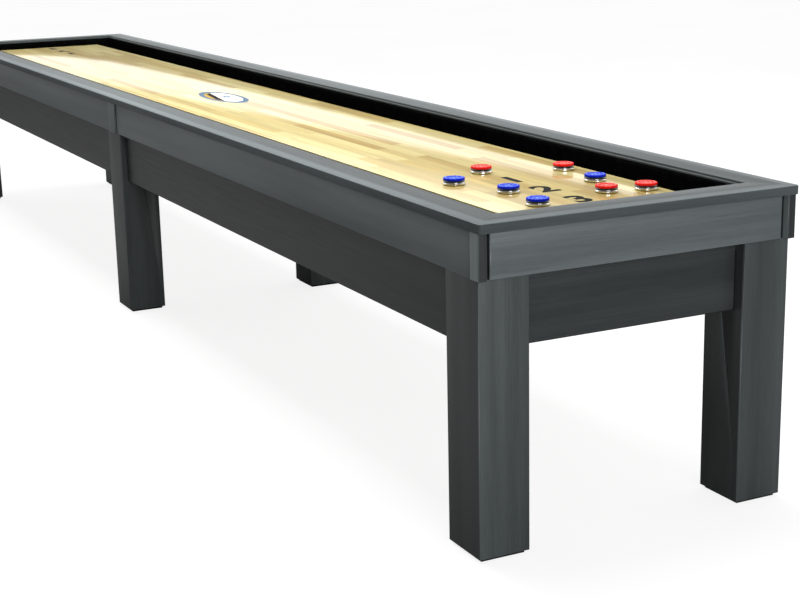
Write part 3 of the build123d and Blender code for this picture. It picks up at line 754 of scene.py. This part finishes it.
def carpet_strip(name, along, side, half_length, inner, face):
    """A carpet strip bent from the gutter's floor up its wall, and mitred where it meets the next."""
    outline = [(out, FLOOR_TOP) for out in spaced(inner, face - CARPET_BEND, CARPET_STEP)]
    outline += arc((face - CARPET_BEND, FLOOR_TOP + CARPET_BEND), CARPET_BEND, 270.0, 360.0, 5)[1:]
    outline += [(face, height) for height in spaced(FLOOR_TOP + CARPET_BEND, LINER_TOP, CARPET_STEP)[1:]]
    width, area = 0.0, 0.0
    for start, finish in zip(outline, outline[1:]):
        mitred_half = half_length - face + (start[0] + finish[0]) / 2
        width += math.dist(start, finish)
        area += math.dist(start, finish) * 2 * mitred_half
    built = bmesh.new()
    rows = []
    for share in spaced(-1.0, 1.0, CARPET_STEP / half_length):
        row = []
        for index, (out, height) in enumerate(outline):
            place = [0.0, 0.0, height]
            place[along] = share * (half_length - face + out)
            place[1 - along] = side * out
            lift = PILE * (noise.noise(Vector(place) * PILE_SPOTS) - 1.0)
            on_edge = index in (0, len(outline) - 1)
            if height < FLOOR_TOP + CARPET_BEND / 2:
                place[2] += 0.0 if on_edge else lift
            else:
                place[1 - along] -= 0.0 if on_edge else side * lift
            row.append(built.verts.new(place))
        rows.append(row)
    for row, following in zip(rows, rows[1:]):
        for index in range(len(outline) - 1):
            built.faces.new((row[index], row[index + 1], following[index + 1], following[index]))
    for face_made in built.faces:
        face_made.smooth = True
    mesh = mesh_from(name, built)
    piece = add_piece(name, mesh, materials["black_carpet"], "table")
    thickness = piece.modifiers.new("thickness", "SOLIDIFY")
    thickness.thickness = CARPET_BACKING
    thickness.offset = -1.0
    applied(piece)
    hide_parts("gutter_liners")


opening = (TABLE_HALF[0] - RAIL_WIDTH, TABLE_HALF[1] - RAIL_WIDTH)
carpet_strip("carpet_right", 0, 1, opening[0], GUTTER_SIDE_INNER, opening[1])
carpet_strip("carpet_left", 0, -1, opening[0], GUTTER_SIDE_INNER, opening[1])
carpet_strip("carpet_near", 1, 1, opening[1], GUTTER_END_INNER, opening[0])
carpet_strip("carpet_far", 1, -1, opening[1], GUTTER_END_INNER, opening[0])

# ---------------------------------------------------------------- markings in the coating
BOARD_TOP = coating_high.z
MARK_ROOT = 0.1 * MM
MARK_RISE = 0.02 * MM
NUMERAL_HEIGHT = 80.0 * MM
NUMERAL_SHARE = 0.7
NUMERAL_WEIGHT = 0.075
NUMERAL_PLACES = (("1", 0.408), ("2", 0.248), ("3", 0.088))


def flat_piece(name, outlines, level, material, body, top, root, holes=()):
    """A thin plate made of closed outlines in plan. level raises it above the plates under it."""
    curve = bpy.data.curves.new(name, "CURVE")
    curve.dimensions = "2D"
    curve.fill_mode = "BOTH"
    for points in [*outlines, *holes]:
        spline = curve.splines.new("POLY")
        spline.points.add(len(points) - 1)
        for point, (x, y) in zip(spline.points, points):
            point.co = (x, y, 0.0, 1.0)
        spline.use_cyclic_u = True
    rise = MARK_RISE * level
    curve.extrude = (root + rise) / 2
    return plate_from_curve(name, curve, top + (rise - root) / 2, material, body)


def plate_from_curve(name, curve, middle, material, body, turn=Matrix.Identity(4)):
    """Turn a filled curve into a plate whose middle is at a height. turn places it in plan."""
    carrier = bpy.data.objects.new(f"{name}_outline", curve)
    bpy.context.scene.collection.objects.link(carrier)
    bpy.context.view_layer.update()
    graph = bpy.context.evaluated_depsgraph_get()
    mesh = bpy.data.meshes.new_from_object(carrier.evaluated_get(graph))
    bpy.data.objects.remove(carrier)
    mesh.transform(turn)
    mesh.transform(Matrix.Translation((0.0, 0.0, middle)))
    built = bmesh.new()
    built.from_mesh(mesh)
    bmesh.ops.remove_doubles(built, verts=built.verts, dist=WELD / 10)
    mesh = mesh_from(name, built)
    return add_piece(name, mesh, material, body)


def numeral(name, digit, place, end):
    """A black numeral set in the board, read from the table's end."""
    curve = bpy.data.curves.new(name, "FONT")
    curve.body = digit
    curve.align_x = "CENTER"
    curve.align_y = "CENTER"
    curve.size = NUMERAL_HEIGHT / NUMERAL_SHARE
    curve.offset = NUMERAL_WEIGHT * curve.size / 2
    curve.extrude = MARK_ROOT / 2
    turn = Matrix.Translation((end * (coating_high.x - place), 0.0, 0.0))
    turn @= Matrix.Rotation(math.radians(90.0 if end > 0 else -90.0), 4, "Z")
    middle = BOARD_TOP + MARK_RISE - MARK_ROOT / 2
    plate_from_curve(name, curve, middle, mark_materials["black"], "table", turn)


for end_name, end in (("near", 1), ("far", -1)):
    for digit, place in NUMERAL_PLACES:
        numeral(f"numeral_{digit}_{end_name}", digit, place, end)


def oval(half_x, half_y, steps=72, start=0.0, turn=360.0):
    """Points round an oval, or part of one."""
    angles = [math.radians(start + turn * step / steps) for step in range(steps + (turn < 360.0))]
    return [(half_x * math.cos(t), half_y * math.sin(t)) for t in angles]


def star(points, outer, inner, stretch):
    """A star's outline, stretched along X."""
    turns = [math.pi * index / points for index in range(2 * points)]
    reaches = [outer if index % 2 == 0 else inner for index in range(2 * points)]
    return [(stretch * reach * math.cos(t), reach * math.sin(t)) for reach, t in zip(reaches, turns)]


BADGE_HALF_X = 200.0 * MM
BADGE_HALF_Y = 68.0 * MM
BADGE_FIELD = 0.78
BADGE_BAND = ((-0.95, 0.0), (0.7, -0.66), (0.35, -0.9), (-0.8, -0.42))
FIELD_START, FIELD_TURN = -42.0, 218.0
GROUND_START, GROUND_TURN = 176.0, 142.0
STAR_OUTER = 0.34 * BADGE_HALF_Y
STAR_STRETCH = 1.7
STAR_PLACE = 0.2 * BADGE_HALF_Y


def badge():
    """A plain oval badge at the board's middle: rim, pale field, gold ground, dark band and star."""

    def layer(name, outlines, level, colour, holes=()):
        """Add one of the badge's plates."""
        flat_piece(
            f"badge_{name}",
            outlines,
            level,
            mark_materials[colour],
            "table",
            BOARD_TOP,
            MARK_ROOT,
            holes,
        )

    inner_x, inner_y = BADGE_HALF_X * BADGE_FIELD, BADGE_HALF_Y * BADGE_FIELD
    layer("rim", [oval(BADGE_HALF_X, BADGE_HALF_Y)], 1, "slate", [oval(inner_x, inner_y)])
    layer("field", [oval(inner_x, inner_y, 40, FIELD_START, FIELD_TURN)], 1, "white")
    layer("ground", [oval(inner_x, inner_y, 40, GROUND_START, GROUND_TURN)], 1, "gold")
    layer("band", [[(x * inner_x, y * inner_y) for x, y in BADGE_BAND]], 2, "black")
    centre = star(6, STAR_OUTER, STAR_OUTER / 2, STAR_STRETCH)
    layer("star", [[(x, y + STAR_PLACE) for x, y in centre]], 2, "slate")


badge()

# ---------------------------------------------------------------- prints on the puck caps
CAP_DISH = 0.8 * MM
PRINT_ROOT = 0.05 * MM
PRINT_TURN = 37.0
HUB_RADIUS = 3.2 * MM
BLADE_COUNT = 5
BLADE_STEPS = 10
BLADE_START = 6.0 * MM
BLADE_REACH = 9.5 * MM
BLADE_WIDTH = 2.6 * MM
BLADE_SWEEP = 62.0
DASH_COUNT = 12
DASH_STEPS = 6
DASH_INNER = 21.4 * MM
DASH_OUTER = 23.4 * MM
DASH_SWEEP = 17.0


def around(reaches, angles):
    """Points at reaches from a centre, and angles round it."""
    return [(reach * math.cos(t), reach * math.sin(t)) for reach, t in zip(reaches, angles)]


def blade(turn):
    """One curved blade of the cap's print, turned round the cap."""
    steps = range(BLADE_STEPS + 1)
    angles = [math.radians(turn + BLADE_SWEEP * step / BLADE_STEPS) for step in steps]
    middle = [BLADE_START + BLADE_REACH * step / BLADE_STEPS for step in steps]
    swell = [math.sin(math.pi * min(1.0, (step + 1.5) / (BLADE_STEPS + 2))) for step in steps]
    outside = [reach + BLADE_WIDTH * share / 2 for reach, share in zip(middle, swell)]
    inside = [reach - BLADE_WIDTH * share / 2 for reach, share in zip(middle, swell)]
    return around(outside, angles) + around(inside, angles)[::-1]


def dash(turn):
    """A short piece of a ring near the cap's edge, turned round the cap."""
    steps = range(DASH_STEPS + 1)
    angles = [math.radians(turn + DASH_SWEEP * step / DASH_STEPS) for step in steps]
    far = around([DASH_OUTER] * len(angles), angles)
    near = around([DASH_INNER] * len(angles), angles)
    return far + near[::-1]


def cap_print(node, turn):
    """The pale print on a cap: curved blades in its dish, and dashes round its raised edge."""
    low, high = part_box(node)
    centre = Vector(((low.x + high.x) / 2, (low.y + high.y) / 2, 0.0))
    colour = "red" if "red" in node else "blue"
    body = body_of_node[node]
    name = node.replace("puck_cap", "cap_print")
    blades = [blade(turn + 360.0 * index / BLADE_COUNT) for index in range(BLADE_COUNT)]
    hub = [oval(HUB_RADIUS, HUB_RADIUS, 32)]
    dashes = [dash(turn + 360.0 * index / DASH_COUNT) for index in range(DASH_COUNT)]
    for part, outlines, top in (("blades", blades + hub, high.z - CAP_DISH), ("ring", dashes, high.z)):
        placed = [[(x + centre.x, y + centre.y) for x, y in outline] for outline in outlines]
        flat_piece(
            f"{name}_{part}",
            placed,
            1,
            print_materials[colour],
            body,
            top,
            PRINT_ROOT,
        )


for index, node in enumerate(sorted(name for name in slot_of_node if name.startswith("puck_cap"))):
    cap_print(node, PRINT_TURN * index)

# ---------------------------------------------------------------- finishes on the CAD nodes that stay
for node, piece in frame["nodes"].items():
    if not piece.hide_render:
        paint(piece, material_for(node))


# ---------------------------------------------------------------- floor, light and camera
FLOOR_SIZE = 60.0
FLOOR_GLOW = 0.84
FLOOR_BOUNCE = 0.2


def floor():
    """A plain pale floor. It looks near white, and throws only a little light back up."""
    material, tree, shader, position = new_material("studio_floor")
    colour = blend(tree, cloud(tree, position, 0.8, 2.0), (0.2, 0.2, 0.2), (0.22, 0.22, 0.22))
    connect(tree, shader, Base_Color=colour, Roughness=0.9, Emission_Color=(1.0, 1.0, 1.0, 1.0))
    shader.inputs["Specular IOR Level"].default_value = 0.0
    shader.inputs["Emission Strength"].default_value = FLOOR_GLOW
    dim_colour = (FLOOR_BOUNCE, FLOOR_BOUNCE, FLOOR_BOUNCE, 1.0)
    dim = add_node(tree, "ShaderNodeBsdfDiffuse", {"Color": dim_colour}).outputs[0]
    seen = add_node(tree, "ShaderNodeLightPath").outputs["Is Camera Ray"]
    mixed = add_node(tree, "ShaderNodeMixShader", {0: seen, 1: dim, 2: shader.outputs[0]}).outputs[0]
    tree.links.new(mixed, tree.nodes["Material Output"].inputs["Surface"])
    built = bmesh.new()
    bmesh.ops.create_grid(built, x_segments=2, y_segments=2, size=FLOOR_SIZE)
    mesh = mesh_from("studio_floor", built)
    piece = bpy.data.objects.new("studio_floor", mesh)
    bpy.context.scene.collection.objects.link(piece)
    paint(piece, material)


TOP_LIGHT = {
    "place": (-0.4, 0.0, 4.2),
    "target": (-0.4, 0.01, 0.8),
    "width": 5.4,
    "height": 2.4,
    "power": 290.0,
}
FRONT_LIGHT = {
    "place": (5.9, -0.6, 1.3),
    "target": (2.7, 0.0, 0.4),
    "width": 2.0,
    "height": 1.4,
    "power": 66.0,
}


def soft_light(name, place, target, width, height, power):
    """A soft box that faces a target."""
    light = bpy.data.lights.new(name, "AREA")
    light.shape = "RECTANGLE"
    light.size = width
    light.size_y = height
    light.energy = power
    holder = bpy.data.objects.new(name, light)
    holder.location = place
    holder.rotation_euler = (Vector(target) - Vector(place)).to_track_quat("-Z", "Y").to_euler()
    bpy.context.scene.collection.objects.link(holder)


# How bright the room is at heights from the horizon to straight overhead.
ROOM_LIGHT = (
    (0.0, 1.2),
    (0.166, 1.2),
    (0.183, 0.1),
    (0.27, 0.08),
    (0.4, 2.2),
    (0.6, 1.6),
    (1.0, 0.8),
)
ROOM_BRIGHT_SIDE = (-0.9, 0.44, 0.0)
ROOM_DIM_SIDE_LEVEL = 0.22


def surroundings():
    """White all round for the camera, and a room that lights the table mostly from overhead."""
    world = bpy.data.worlds.new("studio")
    world.use_nodes = True
    bpy.context.scene.world = world
    tree = world.node_tree
    background = tree.nodes["Background"]
    direction = add_node(tree, "ShaderNodeTexCoord").outputs["Generated"]
    height = add_node(tree, "ShaderNodeSeparateXYZ", {0: direction}).outputs["Z"]
    room = ramp(tree, height, [(place, (level, level, level)) for place, level in ROOM_LIGHT])
    toward = add_node(
        tree, "ShaderNodeVectorMath", {0: direction, 1: ROOM_BRIGHT_SIDE}, operation="DOT_PRODUCT"
    ).outputs["Value"]
    room = tint(tree, room, rescale(tree, toward, ROOM_DIM_SIDE_LEVEL, 1.0, -0.1, 0.6))
    seen = add_node(tree, "ShaderNodeLightPath").outputs["Is Camera Ray"]
    unseen = tint(tree, room, calculate(tree, "SUBTRACT", 1.0, seen))
    colour = add_node(tree, "ShaderNodeVectorMath", {0: unseen, 1: seen}, operation="ADD").outputs[0]
    tree.links.new(colour, background.inputs["Color"])


CAMERA_PLACE = (5.6688, -2.0857, 1.4917)
CAMERA_YAW = 0.4604
CAMERA_PITCH = 0.2499
CAMERA_ROLL = -0.0222
LENS = 71.46
SENSOR_WIDTH = 36.0
CAMERA_REACH = 200.0


def camera():
    """A camera that looks along the table from its near left corner."""
    yaw, pitch, roll = CAMERA_YAW, CAMERA_PITCH, CAMERA_ROLL
    ahead = Vector((-math.cos(yaw) * math.cos(pitch), math.sin(yaw) * math.cos(pitch), -math.sin(pitch)))
    right = Vector((math.sin(yaw), math.cos(yaw), 0.0))
    up = right.cross(ahead)
    tilted_right = math.cos(roll) * right + math.sin(roll) * up
    tilted_up = -math.sin(roll) * right + math.cos(roll) * up
    data = bpy.data.cameras.new("camera")
    data.lens = LENS
    data.sensor_width = SENSOR_WIDTH
    data.clip_end = CAMERA_REACH
    holder = bpy.data.objects.new("camera", data)
    turned = Matrix((tilted_right, tilted_up, -ahead)).transposed().to_4x4()
    holder.matrix_world = Matrix.Translation(CAMERA_PLACE) @ turned
    bpy.context.scene.collection.objects.link(holder)
    bpy.context.scene.camera = holder


floor()
surroundings()
soft_light("top_light", **TOP_LIGHT)
soft_light("front_light", **FRONT_LIGHT)
camera()
bpy.context.scene.view_settings.view_transform = "Standard"
